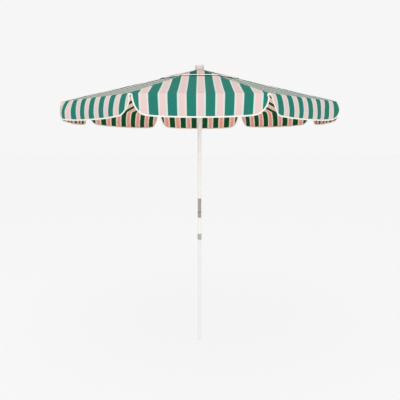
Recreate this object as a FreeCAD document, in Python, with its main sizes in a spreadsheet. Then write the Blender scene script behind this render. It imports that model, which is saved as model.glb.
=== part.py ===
import FreeCAD, Part
import os
import Sketcher

from FreeCAD import Placement, Rotation, Vector

# Beach umbrella. +Z is up the pole and the origin is the middle of the pole's flat foot.
# Eight ribs at 22.5, 67.5, ... degrees, so that flat sides of the canopy face X and Y.

RIB_COUNT = 8
HALF_STEP = 180.0 / RIB_COUNT
RIB_TURNS = [HALF_STEP + 2 * HALF_STEP * number for number in range(RIB_COUNT)]
PANEL_TURNS = [2 * HALF_STEP * (number + 1) for number in range(RIB_COUNT)]

DIMENSIONS = {
    # canopy
    "canopy_radius": 1100,
    "hem_height": 1925,
    "roof_pitch": 15.3,
    "fabric_thick": 1.2,
    "vent_radius": 341,
    "vent_lift": 6,
    "vent_hole_radius": 240,
    "crown_hole_radius": 24,
    "valance_drop": 143,
    "valance_lean": 24,
    "valance_corner": 78,
    "slit_gap": 3,
    # ribs and stays
    "rib_dia": 5,
    "stay_dia": 4,
    "eye_dia": 7,
    "eye_width": 4.4,
    "pivot_offset": 11,
    "pivot_pin_dia": 2.4,
    "stay_reach": 473,
    "bracket_length": 16,
    "bracket_drop": 7.5,
    "bracket_cheek": 1.8,
    "tip_inset": 8,
    "tip_ball_dia": 9,
    "tip_sleeve": 16,
    # crown, runner and finial
    "hub_rim": 7,
    "hub_web": 1.6,
    "hub_skirt": 12,
    "hub_pin_length": 13.4,
    "runner_sleeve": 70,
    "runner_wall": 4.6,
    "runner_grip": 5,
    "finial_dia": 74,
    "finial_height": 45,
    "finial_wall": 4,
    "finial_stem_dia": 12,
    "finial_lift": 1.0,
    # poles
    "lower_pole_dia": 28,
    "bush_wall": 0.7,
    "pole_wall": 1.2,
    "foot_thick": 2,
    "foot_plug": 25,
    "depth_mark": 350,
    "depth_groove": 0.3,
    "collar_bottom": 826,
    "collar_length": 52,
    "collar_wall": 1.0,
    "bush_flange": 3,
    "bush_grip": 26,
    # tilt joint
    "tilt_bottom": 1010,
    "tilt_length": 158,
    "tilt_inset": 1.5,
    "tilt_plug": 40,
    "tilt_pin_rise": 45,
    "tilt_pin_dia": 6,
    "tilt_slot_floor": 20,
    "tilt_shoulder": 16,
    "tongue_thick": 13,
    "tongue_depth": 24,
    "washer_dia": 18,
    "washer_thick": 0.6,
    # runner catch
    "catch_width": 5.6,
    "catch_height": 44,
    "catch_proud": 4.5,
    "catch_pin_dia": 2,
    # clearances
    "running_fit": 0.08,
    "slide_fit": 0.1,
    "side_gap": 0.3,
    "runner_fit": 0.4,
}

WORKED = {
    "apothem": "=Dims.canopy_radius * cos({half})",
    "side_half": "=Dims.canopy_radius * sin({half})",
    "apex_height": "=Dims.hem_height + Dims.canopy_radius * tan(Dims.roof_pitch)",
    "panel_pitch": "=atan(Dims.canopy_radius * tan(Dims.roof_pitch) / apothem) / 1 deg",
    "rib_drop": "=(Dims.rib_dia / 2 + Dims.side_gap) / cos(Dims.roof_pitch)",
    "lower_radius": "=Dims.lower_pole_dia / 2",
    "lower_bore": "=lower_radius - Dims.pole_wall",
    "bush_bore": "=lower_radius + Dims.slide_fit",
    "upper_bore": "=bush_bore + Dims.bush_wall",
    "upper_radius": "=upper_bore + Dims.pole_wall",
    "pivot_radius": "=upper_radius + Dims.pivot_offset",
    "hub_radius": "=pivot_radius + Dims.hub_rim",
    "hub_height": "=Dims.hem_height - rib_drop"
    " + (Dims.canopy_radius - pivot_radius) * tan(Dims.roof_pitch)",
    "rib_length": "=(Dims.canopy_radius - Dims.tip_inset - pivot_radius) / cos(Dims.roof_pitch)",
    "joint_out": "=Dims.stay_reach * cos(Dims.roof_pitch) - Dims.bracket_drop * sin(Dims.roof_pitch)",
    "joint_down": "=Dims.stay_reach * sin(Dims.roof_pitch) + Dims.bracket_drop * cos(Dims.roof_pitch)",
    "stay_length": "=sqrt(joint_out ^ 2 + joint_down ^ 2)",
    "stay_pitch": "=atan(joint_down / joint_out) / 1 deg",
    "runner_height": "=hub_height - 2 * joint_down",
    "hub_slot": "=Dims.rib_dia + 2 * Dims.side_gap",
    "hub_slot_start": "=pivot_radius - Dims.eye_dia / 2 - 3 * Dims.side_gap",
    "hub_slot_end": "=Dims.eye_dia / 2 + Dims.side_gap",
    "hub_lid": "=hub_slot_end + Dims.hub_web",
    "collar_top": "=Dims.collar_bottom + Dims.collar_length",
    "collar_bore": "=upper_radius - Dims.collar_wall",
    "runner_bore": "=upper_radius + Dims.runner_fit",
    "runner_outer": "=runner_bore + Dims.runner_wall",
    "catch_top": "=runner_height - Dims.runner_sleeve - 2 * Dims.side_gap",
    "catch_pin_height": "=catch_top - Dims.catch_height + 2 * Dims.catch_pin_dia",
    "tilt_top": "=Dims.tilt_bottom + Dims.tilt_length",
    "tilt_radius": "=upper_radius - Dims.tilt_inset",
    "tilt_pin_height": "=Dims.tilt_bottom + Dims.tilt_pin_rise",
    "tilt_slot": "=Dims.tongue_thick + 2 * (Dims.washer_thick + Dims.side_gap)",
    "tilt_cheek_top": "=tilt_top - Dims.tilt_shoulder - 6 * Dims.side_gap",
    "lower_pole_top": "=Dims.tilt_bottom - Dims.tilt_plug - Dims.side_gap",
    "vent_apex": "=apex_height + Dims.vent_lift",
    "finial_base": "=vent_apex - (Dims.finial_dia / 2 - Dims.finial_wall) * tan(Dims.roof_pitch)"
    " + Dims.fabric_thick + Dims.finial_lift",
    "finial_stem_down": "=finial_base - hub_height - Dims.eye_dia / 2",
}

doc = FreeCAD.newDocument("beach_umbrella")


def fill_sheet(name, cells):
    sheet = doc.addObject("Spreadsheet::Sheet", name)
    for row, (alias, content) in enumerate(cells.items(), start=1):
        sheet.set(f"A{row}", alias)
        sheet.set(f"B{row}", str(content).format(half=HALF_STEP))
        sheet.setAlias(f"B{row}", alias)
    doc.recompute()
    return sheet


dims = fill_sheet("Dims", DIMENSIONS)
worked = fill_sheet("Worked", WORKED)


def number(formula):
    """What a formula on the two sheets comes to, as a plain number."""
    return float(dims.evalExpression(formula))


def bind(thing, sizes):
    for prop, formula in sizes.items():
        thing.setExpression(prop, formula)
    return thing


# --- ways of making a piece ---------------------------------------------------------------

AXIS_TURN = {
    "X": Rotation(Vector(0, 1, 0), 90),
    "Y": Rotation(Vector(1, 0, 0), -90),
    "Z": Rotation(),
}


def cylinder(name, axis, radius, length, x="0", y="0", z="0"):
    """A round bar that starts at x, y, z and runs along one axis."""
    bar = doc.addObject("Part::Cylinder", name)
    bar.Placement = Placement(Vector(), AXIS_TURN[axis])
    base = {"Placement.Base.x": x, "Placement.Base.y": y, "Placement.Base.z": z}
    return bind(bar, {"Radius": radius, "Height": length, **base})


def box(name, length, width, height, x="0", y="0", z="0"):
    block = doc.addObject("Part::Box", name)
    base = {"Placement.Base.x": x, "Placement.Base.y": y, "Placement.Base.z": z}
    return bind(block, {"Length": length, "Width": width, "Height": height, **base})


def fuse(name, *pieces):
    joined = doc.addObject("Part::MultiFuse", name)
    joined.Shapes = list(pieces)
    joined.Refine = True
    return joined


def cut(name, base, *tools):
    tool = tools[0] if len(tools) == 1 else fuse(f"{name}_cutter", *tools)
    cut_piece = doc.addObject("Part::Cut", name)
    cut_piece.Base = base
    cut_piece.Tool = tool
    return cut_piece


def group(name, pieces, placement=Placement()):
    """Separate solids that make one sub-part, put in place together."""
    members = doc.addObject("Part::Compound", name)
    members.Links = list(pieces)
    members.Placement = placement
    return members


def closed_sketch(body, plane, corners):
    """A closed outline on one of the body's own planes, each corner bound to the sheets."""
    sketch = body.newObject("Sketcher::SketchObject", f"{body.Name}_outline")
    origin_planes = {feature.Role: feature for feature in body.Origin.OriginFeatures}
    sketch.AttachmentSupport = [(origin_planes[plane], "")]
    sketch.MapMode = "FlatFace"
    points = [Vector(number(across), number(up), 0) for across, up in corners]
    for start, end in zip(points, points[1:] + points[:1]):
        sketch.addGeometry(Part.LineSegment(start, end), False)
    for line, (across, up) in enumerate(corners):
        following = (line + 1) % len(corners)
        sketch.addConstraint(Sketcher.Constraint("Coincident", line, 2, following, 1))
        for kind, formula, value in (
            ("DistanceX", across, points[line].x),
            ("DistanceY", up, points[line].y),
        ):
            index = sketch.addConstraint(Sketcher.Constraint(kind, -1, 1, line, 1, value))
            sketch.setExpression(f"Constraints[{index}]", formula)
    return sketch


def turned(name, corners):
    """A turned piece: an outline of (radius, height) corners spun once about Z."""
    body = doc.addObject("PartDesign::Body", name)
    sketch = closed_sketch(body, "XZ_Plane", corners)
    spin = body.newObject("PartDesign::Revolution", f"{name}_turn")
    spin.Profile = sketch
    spin.ReferenceAxis = (sketch, ["V_Axis"])
    spin.Angle = 360
    body.Tip = spin
    return body


def plate(name, plane, corners, thickness):
    body = doc.addObject("PartDesign::Body", name)
    sketch = closed_sketch(body, plane, corners)
    pad = body.newObject("PartDesign::Pad", f"{name}_pad")
    pad.Profile = sketch
    bind(pad, {"Length": thickness})
    body.Tip = pad
    return body


def tube(name, outer, bore, bottom, top):
    return turned(name, [(bore, bottom), (outer, bottom), (outer, top), (bore, top)])


def around(turn, radius=0.0, height=0.0, pitch=0.0):
    """The frame of a piece that stands at a turn about the pole, tipped down by its pitch."""
    spin = Rotation(Vector(0, 0, 1), turn)
    return Placement(
        spin.multVec(Vector(radius, 0, height)),
        spin.multiply(Rotation(Vector(0, 1, 0), pitch)),
    )


sub_parts = []


def sub_part(label, piece, placement=None):
    """Names a finished piece, which also names its file."""
    if placement is not None:
        piece.Placement = placement
    piece.Label = label
    sub_parts.append(piece)
    return piece


# --- pole: foot, lower pole, twist-lock collar, middle pole --------------------------------

sub_part(
    "foot_plug",
    turned(
        "foot_plug",
        [
            ("0", "0"),
            ("Worked.lower_radius - Dims.foot_thick / 2", "0"),
            ("Worked.lower_radius", "Dims.foot_thick / 2"),
            ("Worked.lower_radius", "Dims.foot_thick"),
            ("Worked.lower_bore", "Dims.foot_thick"),
            ("Worked.lower_bore", "Dims.foot_plug"),
            ("0", "Dims.foot_plug"),
        ],
    ),
)

groove_floor = "Worked.lower_radius - Dims.depth_groove"
sub_part(
    "lower_pole",
    turned(
        "lower_pole",
        [
            ("Worked.lower_bore", "Dims.foot_thick"),
            ("Worked.lower_radius", "Dims.foot_thick"),
            ("Worked.lower_radius", "Dims.depth_mark"),
            (groove_floor, "Dims.depth_mark + Dims.depth_groove"),
            (groove_floor, "Dims.depth_mark + 6 * Dims.depth_groove"),
            ("Worked.lower_radius", "Dims.depth_mark + 7 * Dims.depth_groove"),
            ("Worked.lower_radius", "Worked.lower_pole_top"),
            ("Worked.lower_bore", "Worked.lower_pole_top"),
        ],
    ),
)

# the bush is glued in the middle pole's mouth, and the collar turns on its lower stretch
flange_top = "Dims.collar_bottom + Dims.bush_flange"
sub_part(
    "lock_bush",
    turned(
        "lock_bush",
        [
            ("Worked.bush_bore", "Dims.collar_bottom"),
            ("Worked.upper_radius", "Dims.collar_bottom"),
            ("Worked.upper_radius", flange_top),
            ("Worked.upper_bore", flange_top),
            ("Worked.upper_bore", "Worked.collar_top + Dims.bush_grip"),
            ("Worked.bush_bore", "Worked.collar_top + Dims.bush_grip"),
        ],
    ),
)
sub_part(
    "lock_collar",
    tube(
        "lock_collar",
        "Worked.upper_radius",
        "Worked.collar_bore",
        f"{flange_top} + Dims.side_gap",
        "Worked.collar_top - Dims.side_gap",
    ),
)
sub_part(
    "mid_pole",
    tube("mid_pole", "Worked.upper_radius", "Worked.upper_bore", "Worked.collar_top", "Dims.tilt_bottom"),
)

# --- tilt joint: fork below, tongue above, pin across --------------------------------------


def pin_across(name, radius):
    """A round bar along X through the tilt joint."""
    start = "-Worked.tilt_radius"
    return cylinder(name, "X", radius, "2 * Worked.tilt_radius", x=start, z="Worked.tilt_pin_height")


fork_blank = fuse(
    "fork_blank",
    cylinder(
        "fork_plug",
        "Z",
        "Worked.upper_bore",
        "Dims.tilt_plug",
        z="Dims.tilt_bottom - Dims.tilt_plug",
    ),
    cylinder(
        "fork_barrel",
        "Z",
        "Worked.tilt_radius",
        "Worked.tilt_cheek_top - Dims.tilt_bottom",
        z="Dims.tilt_bottom",
    ),
)
fork_slot = box(
    "fork_slot",
    "Worked.tilt_slot",
    "4 * Worked.tilt_radius",
    "Dims.tilt_length",
    x="-Worked.tilt_slot / 2",
    y="-2 * Worked.tilt_radius",
    z="Dims.tilt_bottom + Dims.tilt_slot_floor",
)
pin_hole = pin_across("fork_pin_hole", "Dims.tilt_pin_dia / 2")
sub_part("tilt_fork", cut("tilt_fork", fork_blank, fork_slot, pin_hole))
sub_part("tilt_pin", pin_across("tilt_pin", "Dims.tilt_pin_dia / 2"))

tongue_blank = fuse(
    "tongue_blank",
    cylinder("tongue_plug", "Z", "Worked.upper_bore", "Dims.tilt_plug", z="Worked.tilt_top"),
    cylinder(
        "tongue_shoulder",
        "Z",
        "Worked.tilt_radius",
        "Dims.tilt_shoulder",
        z="Worked.tilt_top - Dims.tilt_shoulder",
    ),
    box(
        "tongue_bar",
        "Dims.tongue_thick",
        "Dims.tongue_depth",
        "Worked.tilt_top - Worked.tilt_pin_height",
        x="-Dims.tongue_thick / 2",
        y="-Dims.tongue_depth / 2",
        z="Worked.tilt_pin_height",
    ),
    cylinder(
        "tongue_end",
        "X",
        "Dims.tongue_depth / 2",
        "Dims.tongue_thick",
        x="-Dims.tongue_thick / 2",
        z="Worked.tilt_pin_height",
    ),
)
tongue_hole = pin_across("tongue_hole", "Dims.tilt_pin_dia / 2 + Dims.running_fit")
sub_part("tilt_tongue", cut("tilt_tongue", tongue_blank, tongue_hole))


def washer(name, start):
    disc_z = "Worked.tilt_pin_height"
    disc = cylinder(f"{name}_disc", "X", "Dims.washer_dia / 2", "Dims.washer_thick", x=start, z=disc_z)
    return cut(name, disc, pin_across(f"{name}_hole", "Dims.tilt_pin_dia / 2 + Dims.running_fit"))


washer_gap = "Dims.tongue_thick / 2 + Dims.side_gap / 2"
sub_part(
    "tilt_washers",
    group(
        "tilt_washers",
        [washer("washer_right", washer_gap), washer("washer_left", f"-({washer_gap} + Dims.washer_thick)")],
    ),
)

# --- upper pole and the catch that the runner rests on -------------------------------------

catch_pin_depth = "Worked.upper_radius * 3 / 4"


def catch_rivet(name):
    """A bar across the pole, with both ends filed flush with the pole's round."""
    bar = cylinder(
        f"{name}_bar",
        "X",
        "Dims.catch_pin_dia / 2",
        "2 * Worked.upper_radius",
        x="-Worked.upper_radius",
        y=f"-{catch_pin_depth}",
        z="Worked.catch_pin_height",
    )
    low = "Worked.catch_pin_height - Dims.catch_pin_dia"
    flush = doc.addObject("Part::Common", name)
    flush.Base = bar
    flush.Tool = cylinder(f"{name}_round", "Z", "Worked.upper_radius", "2 * Dims.catch_pin_dia", z=low)
    return flush


pole_blank = tube(
    "upper_pole_tube",
    "Worked.upper_radius",
    "Worked.upper_bore",
    "Worked.tilt_top",
    "Worked.hub_height - Dims.side_gap",
)
catch_slot = box(
    "catch_slot",
    "Dims.catch_width + 2 * Dims.side_gap",
    "Worked.upper_radius",
    "Dims.catch_height + 8 * Dims.side_gap",
    x="-Dims.catch_width / 2 - Dims.side_gap",
    y="-Worked.upper_radius * 3 / 2",
    z="Worked.catch_top - Dims.catch_height - 4 * Dims.side_gap",
)
sub_part("upper_pole", cut("upper_pole", pole_blank, catch_slot, catch_rivet("catch_rivet_hole")))
sub_part("catch_rivet", catch_rivet("catch_rivet"))

catch_foot = "Worked.catch_top - Dims.catch_height"
catch_back = "-Worked.upper_radius * 5 / 8"
catch_nose = "-(Worked.upper_radius + Dims.catch_proud)"
catch_blank = plate(
    "catch_blank",
    "YZ_Plane",
    [
        (catch_back, catch_foot),
        ("-Worked.upper_radius + Dims.side_gap", catch_foot),
        (catch_nose, "Worked.catch_top - Dims.catch_height / 8"),
        (catch_nose, "Worked.catch_top"),
        (catch_back, "Worked.catch_top"),
    ],
    "Dims.catch_width",
)
bind(catch_blank, {"Placement.Base.x": "-Dims.catch_width / 2"})
catch_hole = cylinder(
    "catch_hole",
    "X",
    "Dims.catch_pin_dia / 2 + Dims.running_fit",
    "2 * Dims.catch_width",
    x="-Dims.catch_width",
    y=f"-{catch_pin_depth}",
    z="Worked.catch_pin_height",
)
sub_part("runner_catch", cut("runner_catch", catch_blank, catch_hole))

# --- crown and runner: two slotted hubs with a pin across each slot ------------------------


def hub_slots(name, start, height):
    """One cutter for each rib or stay, from its pivot out through the hub's rim."""
    slots = []
    for count, turn in enumerate(RIB_TURNS, start=1):
        slot = doc.addObject("Part::Box", f"{name}_slot_{count}")
        bind(slot, {"Length": "Worked.hub_radius", "Width": "Worked.hub_slot", "Height": height})
        corner = Vector(number("Worked.hub_slot_start"), -number("Worked.hub_slot") / 2, number(start))
        spin = Rotation(Vector(0, 0, 1), turn)
        slot.Placement = Placement(spin.multVec(corner), spin)
        slots.append(slot)
    return slots


def hub_pins(name):
    """The short pins, one across each slot at the pivot circle."""
    pins = []
    for count, turn in enumerate(RIB_TURNS, start=1):
        pin = doc.addObject("Part::Cylinder", f"{name}_pin_{count}")
        bind(pin, {"Radius": "Dims.pivot_pin_dia / 2", "Height": "Dims.hub_pin_length"})
        start = Vector(number("Worked.pivot_radius"), -number("Dims.hub_pin_length") / 2, 0)
        spin = Rotation(Vector(0, 0, 1), turn)
        pin.Placement = Placement(spin.multVec(start), spin.multiply(AXIS_TURN["Y"]))
        pins.append(pin)
    return pins


hub_height = Placement(Vector(0, 0, number("Worked.hub_height")), Rotation())
runner_height = Placement(Vector(0, 0, number("Worked.runner_height")), Rotation())

stem_radius = "Dims.finial_stem_dia / 2"
crown_blank = turned(
    "crown_blank",
    [
        (stem_radius, "-Dims.side_gap"),
        ("Worked.upper_radius", "-Dims.side_gap"),
        ("Worked.upper_radius", "-Dims.hub_skirt"),
        ("Worked.hub_radius", "-Dims.hub_skirt"),
        ("Worked.hub_radius", "Worked.hub_lid"),
        (stem_radius, "Worked.hub_lid"),
    ],
)
crown_slots = hub_slots("crown", "-2 * Dims.hub_skirt", "2 * Dims.hub_skirt + Worked.hub_slot_end")
crown = cut("crown", crown_blank, *crown_slots, *hub_pins("crown_hole"))
sub_part("crown", crown, hub_height)
sub_part("crown_pins", group("crown_pins", hub_pins("crown")), hub_height)

runner_foot = "-Dims.runner_sleeve"
runner_blank = turned(
    "runner_blank",
    [
        ("Worked.runner_bore", runner_foot),
        ("Worked.runner_outer + Dims.runner_grip", runner_foot),
        ("Worked.runner_outer + Dims.runner_grip", f"{runner_foot} + Dims.runner_grip"),
        ("Worked.runner_outer", f"{runner_foot} + 2 * Dims.runner_grip"),
        ("Worked.runner_outer", "-2 * Worked.hub_lid"),
        ("Worked.hub_radius", "-Worked.hub_lid"),
        ("Worked.hub_radius", "Dims.hub_skirt"),
        ("Worked.runner_bore", "Dims.hub_skirt"),
    ],
)
runner_slots = hub_slots("runner", "-Worked.hub_slot_end", "2 * Dims.hub_skirt")
runner = cut("runner", runner_blank, *runner_slots, *hub_pins("runner_hole"))
sub_part("runner", runner, runner_height)
sub_part("runner_pins", group("runner_pins", hub_pins("runner")), runner_height)

finial_radius = "Dims.finial_dia / 2"
finial = turned(
    "finial",
    [
        ("0", "-Worked.finial_stem_down"),
        (stem_radius, "-Worked.finial_stem_down"),
        (stem_radius, "3 * Dims.finial_wall"),
        (f"{finial_radius} - Dims.finial_wall", "3 * Dims.finial_wall"),
        (f"{finial_radius} - Dims.finial_wall", "0"),
        (finial_radius, "0"),
        (finial_radius, "Dims.finial_height - 2 * Dims.finial_wall"),
        (f"{finial_radius} - Dims.finial_wall", "Dims.finial_height - Dims.finial_wall / 2"),
        (f"{finial_radius} - 2 * Dims.finial_wall", "Dims.finial_height"),
        ("0", "Dims.finial_height"),
    ],
)
sub_part("finial", finial, Placement(Vector(0, 0, number("Worked.finial_base")), Rotation()))

# --- one rib, its fittings and its stay, each in its own frame: origin at the inner pivot,
#     X along the piece, Y along the pivot pins -------------------------------------------


def eye(name, x, z="0"):
    return cylinder(name, "Y", "Dims.eye_dia / 2", "Dims.eye_width", x, "-Dims.eye_width / 2", z)


def eye_hole(name, x, z="0"):
    radius = "Dims.pivot_pin_dia / 2 + Dims.running_fit"
    return cylinder(name, "Y", radius, "2 * Dims.eye_width", x, "-Dims.eye_width", z)


rib_rod = cylinder("rib_rod", "X", "Dims.rib_dia / 2", "Worked.rib_length")
rib = cut("rib", fuse("rib_blank", rib_rod, eye("rib_eye", "0")), eye_hole("rib_hole", "0"))

stay_rod = cylinder("stay_rod", "X", "Dims.stay_dia / 2", "Worked.stay_length")
stay_eyes = [eye("stay_inner_eye", "0"), eye("stay_outer_eye", "Worked.stay_length")]
stay_holes = [eye_hole("stay_inner_hole", "0"), eye_hole("stay_outer_hole", "Worked.stay_length")]
stay = cut("stay", fuse("stay_blank", stay_rod, *stay_eyes), *stay_holes)

bracket_half = "(Worked.hub_slot / 2 + Dims.bracket_cheek)"
bracket_foot = "-(Dims.bracket_drop + Dims.eye_dia / 2)"
bracket_blank = box(
    "bracket_blank",
    "Dims.bracket_length",
    f"2 * {bracket_half}",
    f"Dims.rib_dia / 4 - {bracket_foot}",
    x="Dims.stay_reach - Dims.bracket_length / 2",
    y=f"-{bracket_half}",
    z=bracket_foot,
)
bracket_slot = box(
    "bracket_slot",
    "2 * Dims.bracket_length",
    "Worked.hub_slot",
    "2 * Dims.bracket_drop",
    x="Dims.stay_reach - Dims.bracket_length",
    y="-Worked.hub_slot / 2",
    z="-Dims.rib_dia / 2 - 3 * Dims.side_gap - 2 * Dims.bracket_drop",
)


def bracket_pin(name):
    return cylinder(
        name,
        "Y",
        "Dims.pivot_pin_dia / 2",
        f"2 * {bracket_half}",
        "Dims.stay_reach",
        f"-{bracket_half}",
        "-Dims.bracket_drop",
    )


rod_hole = cylinder("bracket_rod_hole", "X", "Dims.rib_dia / 2", "Worked.rib_length")
bracket = cut("stay_bracket", bracket_blank, bracket_slot, rod_hole, bracket_pin("bracket_hole"))

ball = bind(
    doc.addObject("Part::Sphere", "tip_ball"),
    {
        "Radius": "Dims.tip_ball_dia / 2",
        "Placement.Base.x": "Worked.rib_length - Dims.tip_ball_dia / 2",
        "Placement.Base.z": "-Dims.tip_ball_dia / 3",
    },
)
sleeve = cylinder(
    "tip_sleeve",
    "X",
    "Dims.rib_dia / 2 + Dims.side_gap * 3",
    "Dims.tip_sleeve",
    "Worked.rib_length - Dims.tip_sleeve - Dims.tip_ball_dia / 2",
)
tip_top = box(
    "tip_top",
    "2 * Dims.tip_sleeve",
    "2 * Dims.tip_ball_dia",
    "Dims.tip_ball_dia",
    x="Worked.rib_length - 2 * Dims.tip_sleeve + Dims.tip_ball_dia",
    y="-Dims.tip_ball_dia",
    z="Dims.rib_dia / 2 - 2 * Dims.side_gap",
)
tip_rod = cylinder("tip_rod_hole", "X", "Dims.rib_dia / 2", "Worked.rib_length")
tip = cut("rib_tip", fuse("tip_blank", ball, sleeve), tip_top, tip_rod)

rib_set = [bracket, bracket_pin("bracket_pin"), tip]

# --- cloth: half panels either side of a rib, each in the frame of its own sloping plane ----


def half_panel(name, side, inner, outer, lift):
    """From the middle of a panel (side 0) to the seam over the rib, cut square at both ends."""
    slope = "cos(Worked.panel_pitch)"
    flare = f"{side} * tan({HALF_STEP})"
    panel = plate(
        name,
        "XY_Plane",
        [
            (f"{inner} / {slope}", "0"),
            (f"{outer} / {slope}", "0"),
            (f"{outer} / {slope}", f"{outer} * {flare}"),
            (f"{inner} / {slope}", f"{inner} * {flare}"),
        ],
        "Dims.fabric_thick",
    )
    peak = number("Worked.apex_height") + number(lift)
    panel.Placement = around(-side * HALF_STEP, 0, peak, number("Worked.panel_pitch"))
    return panel


flat = f"cos({HALF_STEP})"
canopy_set = []
for side, hand in ((1, "right"), (-1, "left")):
    canopy_set.append(
        half_panel(f"roof_{hand}", side, f"Dims.vent_hole_radius * {flat}", "Worked.apothem", "0")
    )
    canopy_set.append(
        half_panel(
            f"vent_{hand}",
            side,
            f"Dims.crown_hole_radius * {flat}",
            f"Dims.vent_radius * {flat}",
            "Dims.vent_lift",
        )
    )

valance_half = "Worked.side_half - Dims.slit_gap"
valance_blank = plate(
    "valance_blank",
    "YZ_Plane",
    [
        (f"-({valance_half})", "0"),
        (valance_half, "0"),
        (f"{valance_half} - Dims.valance_lean", "-Dims.valance_drop"),
        (f"-({valance_half} - Dims.valance_lean)", "-Dims.valance_drop"),
    ],
    "Dims.fabric_thick",
)
doc.recompute()
corner_radius = number("Dims.valance_corner")
low_end = -0.9 * number("Dims.valance_drop")
valance = doc.addObject("Part::Fillet", "valance")
valance.Base = valance_blank
valance.Edges = [
    (index, corner_radius, corner_radius)
    for index, edge in enumerate(valance_blank.Shape.Edges, start=1)
    if edge.BoundBox.XLength > 0.5 * number("Dims.fabric_thick") and edge.BoundBox.ZMax < low_end
]

# --- the eight of each, set round the pole --------------------------------------------------

pivot_radius = number("Worked.pivot_radius")
roof_pitch = number("Dims.roof_pitch")
valance_out = number("Worked.apothem") - number("Dims.fabric_thick")
valance_top = number("Dims.hem_height") - number("Dims.side_gap")

for count, turn in enumerate(RIB_TURNS, start=1):
    rib_place = around(turn, pivot_radius, number("Worked.hub_height"), roof_pitch)
    stay_place = around(turn, pivot_radius, number("Worked.runner_height"), -number("Worked.stay_pitch"))
    sub_part(f"rib_{count}", group(f"rib_{count}", [rib], rib_place))
    sub_part(f"rib_fittings_{count}", group(f"rib_fittings_{count}", rib_set, rib_place))
    sub_part(f"stay_{count}", group(f"stay_{count}", [stay], stay_place))
    sub_part(f"canopy_{count}", group(f"canopy_{count}", canopy_set, around(turn)))

for count, turn in enumerate(PANEL_TURNS, start=1):
    hang = around(turn, valance_out, valance_top)
    sub_part(f"valance_{count}", group(f"valance_{count}", [valance], hang))

# --- check everything, then write one STEP file for each sub-part ---------------------------

doc.recompute()
for thing in doc.Objects:
    if "Invalid" in thing.State or "Error" in thing.State:
        raise RuntimeError(f"{thing.Name} failed: {thing.State}")
for piece in sub_parts:
    if piece.Shape.isNull() or not piece.Shape.isValid() or not piece.Shape.Solids:
        raise RuntimeError(f"{piece.Label} has no sound shape")

os.makedirs("parts", exist_ok=True)
for piece in sub_parts:
    piece.Shape.exportStep(f"parts/{piece.Label}.step")

print(f"{len(sub_parts)} sub-parts written")
for alias in ("hub_height", "runner_height", "stay_length", "stay_pitch", "apothem", "apex_height"):
    print(f"{alias} {number('Worked.' + alias):.2f}")
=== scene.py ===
import math

import bmesh
import bpy
from mathutils import Matrix, Vector


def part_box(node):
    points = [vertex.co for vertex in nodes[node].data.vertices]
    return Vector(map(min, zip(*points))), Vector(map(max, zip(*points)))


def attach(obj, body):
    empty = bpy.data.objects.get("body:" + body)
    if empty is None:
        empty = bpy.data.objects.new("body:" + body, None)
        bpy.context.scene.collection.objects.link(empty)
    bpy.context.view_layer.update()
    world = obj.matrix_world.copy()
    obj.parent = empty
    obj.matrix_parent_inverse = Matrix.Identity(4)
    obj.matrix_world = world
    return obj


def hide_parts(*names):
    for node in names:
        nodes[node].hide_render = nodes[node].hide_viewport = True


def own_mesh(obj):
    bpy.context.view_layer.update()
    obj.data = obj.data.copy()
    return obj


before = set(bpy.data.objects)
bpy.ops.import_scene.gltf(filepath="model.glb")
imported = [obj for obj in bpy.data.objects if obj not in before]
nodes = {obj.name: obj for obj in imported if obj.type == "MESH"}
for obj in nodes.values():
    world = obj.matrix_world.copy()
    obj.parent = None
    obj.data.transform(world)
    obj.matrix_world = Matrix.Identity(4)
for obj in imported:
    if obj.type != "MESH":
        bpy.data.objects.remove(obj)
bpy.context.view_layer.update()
scene = bpy.context.scene


# --- Studio -------------------------------------------------------------------------------
# A seamless pale room with light from every side, as for a catalogue picture.
# The camera stands level in front of the pole, a little below the hem of the canopy.

scene.view_settings.view_transform = "Standard"


class Wire:
    """A node's output, which can be used in formulas: each operation adds its Math node."""

    def __init__(self, tree, socket):
        self.tree = tree
        self.socket = socket

    def math(self, operation, *others, clamp=False):
        settings = {"operation": operation, "use_clamp": clamp}
        return node(self.tree, "ShaderNodeMath", settings, dict(enumerate((self, *others))))

    def __add__(self, other):
        return self.math("ADD", other)

    __radd__ = __add__

    def __sub__(self, other):
        return self.math("SUBTRACT", other)

    def __rsub__(self, other):
        return node(self.tree, "ShaderNodeMath", {"operation": "SUBTRACT"}, {0: other, 1: self})

    def __mul__(self, other):
        return self.math("MULTIPLY", other)

    def __truediv__(self, other):
        return self.math("DIVIDE", other)

    def __abs__(self):
        return self.math("ABSOLUTE")

    def clipped(self):
        return self.math("ADD", 0.0, clamp=True)


def node(tree, kind, settings=(), inputs=(), output=0):
    """Adds a node: its settings first, then the values or wires of its sockets."""
    made = tree.nodes.new(kind)
    for name, setting in dict(settings).items():
        setattr(made, name, setting)
    for socket, content in dict(inputs).items():
        if isinstance(content, Wire):
            tree.links.new(content.socket, made.inputs[socket])
        else:
            made.inputs[socket].default_value = content
    return Wire(tree, made.outputs[output])


def finish(name, look):
    """A material whose surface is what look(tree) gives for the Principled sockets."""
    material = bpy.data.materials.new(name)
    material.use_nodes = True
    tree = material.node_tree
    tree.nodes.clear()
    surface = node(tree, "ShaderNodeBsdfPrincipled", (), look(tree))
    node_out = tree.nodes.new("ShaderNodeOutputMaterial")
    tree.links.new(surface.socket, node_out.inputs["Surface"])
    return material


def linked(piece):
    """Puts a new object in the scene."""
    scene.collection.objects.link(piece)
    return piece


def solid(name, points, faces, material):
    """A mesh object with its place in its mesh."""
    mesh = bpy.data.meshes.new(name)
    mesh.from_pydata(points, [], faces)
    mesh.validate()
    mesh.materials.append(material)
    return linked(bpy.data.objects.new(name, mesh))


def floor_look(tree):
    return {
        "Base Color": (floor_grey, floor_grey, floor_grey, 1),
        "Roughness": 0.9,
        "Specular IOR Level": 0.0,
        "Emission Color": (1, 1, 1, 1),
        "Emission Strength": floor_glow,
    }


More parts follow.
